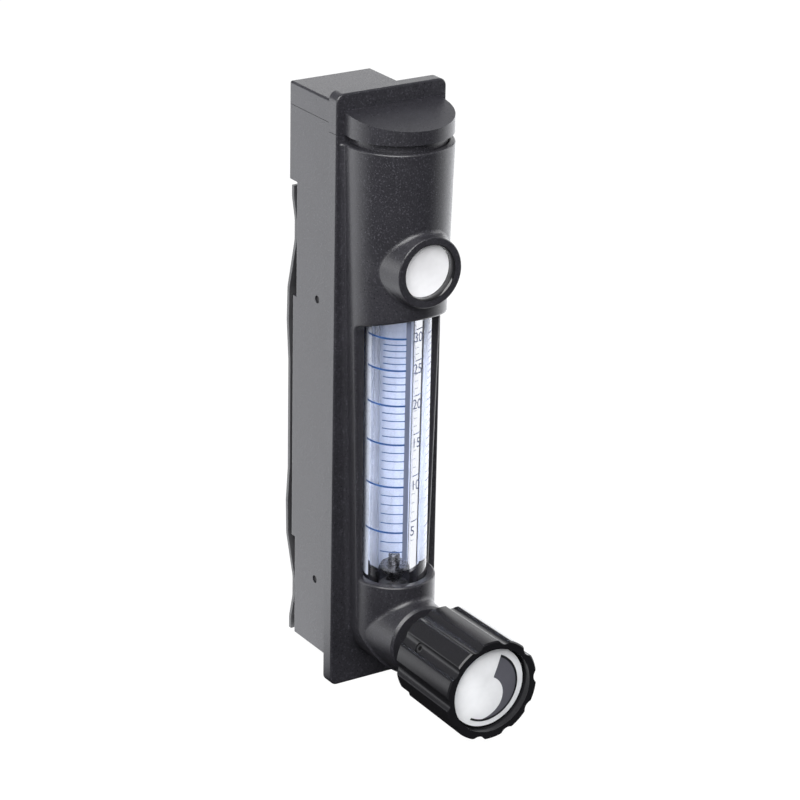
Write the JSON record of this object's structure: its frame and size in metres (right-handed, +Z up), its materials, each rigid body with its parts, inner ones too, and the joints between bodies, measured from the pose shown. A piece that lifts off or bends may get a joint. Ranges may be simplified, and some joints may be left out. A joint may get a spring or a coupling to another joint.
{
  "type": "rotameter",
  "caption": "Panel-mount rotameter: tall black flange with a rear body, a clear metering tube with scale and float in a front window, and a ribbed needle-valve knob below",
  "frame": {"origin": "middle of the flange's rear face, the plane that seats on the panel, on the object's middle plane", "axes": "+Z up along the metering tube, +Y into the panel towards the rear ports, +X to the right seen from the front"},
  "size_m": [0.031, 0.0796, 0.1562],
  "materials": {
    "moulded_black": "black glass-filled nylon moulding, finely grained",
    "badge_white": "white gloss plastic",
    "backing_white": "white matt plastic sheet",
    "tube_glass": "clear borosilicate glass with a printed scale",
    "seal_rubber": "black fluorocarbon rubber",
    "stop_plastic": "off-white PTFE",
    "float_steel": "turned stainless steel",
    "fitting_metal": "turned stainless steel",
    "spring_steel": "stainless spring wire",
    "bonnet_black": "black coated metal",
    "stem_steel": "ground stainless steel",
    "knob_black": "black semi-gloss phenolic plastic",
    "cap_white": "satin white plastic with a dark crescent",
    "set_screw_black": "blackened steel",
    "pin_steel": "steel pin",
    "strap_steel": "black coated spring steel",
    "screw_steel": "plated steel"
  },
  "bodies": {
    "root": {"housing": "moulded_black", "top_cap": "moulded_black", "badge_disc": "badge_white", "scale_backing": "backing_white", "glass_tube": "tube_glass", "lower_tube_seal": "seal_rubber", "upper_tube_seal": "seal_rubber", "lower_float_stop": "stop_plastic", "upper_float_stop": "stop_plastic", "tube_plunger": "fitting_metal", "plunger_o_ring": "seal_rubber", "plunger_spring": "spring_steel", "valve_bonnet": "bonnet_black", "bonnet_o_ring": "seal_rubber", "valve_seat": "fitting_metal", "inlet_insert": "fitting_metal", "outlet_insert": "fitting_metal", "inlet_o_ring": "seal_rubber", "outlet_o_ring": "seal_rubber", "cross_pins": "pin_steel", "rear_strap": "strap_steel", "strap_screw": "screw_steel"},
    "stem_carriage": {"stem_o_ring": "seal_rubber"},
    "valve_knob": {"valve_stem": "stem_steel", "knob": "knob_black", "knob_cap": "cap_white", "knob_set_screw": "set_screw_black"},
    "float": {"float": "float_steel"}
  },
  "joints": [
    {"name": "stem_travel", "type": "slide", "parent": "root", "child": "stem_carriage", "axis": [0, -1, 0], "range_m": [0, 0.00282]},
    {"name": "knob_turn", "type": "hinge", "parent": "stem_carriage", "child": "valve_knob", "pos_m": [0, -0.0415, -0.0613], "axis": [0, -1, 0], "range_deg": [0, 1440]},
    {"name": "float_travel", "type": "slide", "parent": "root", "child": "float", "axis": [0, 0, 1], "range_m": [0, 0.08325]}
  ],
  "couplings": [
    {"joint": "stem_travel", "follows": "knob_turn", "m_per_rad": 0.00011141}
  ]
}
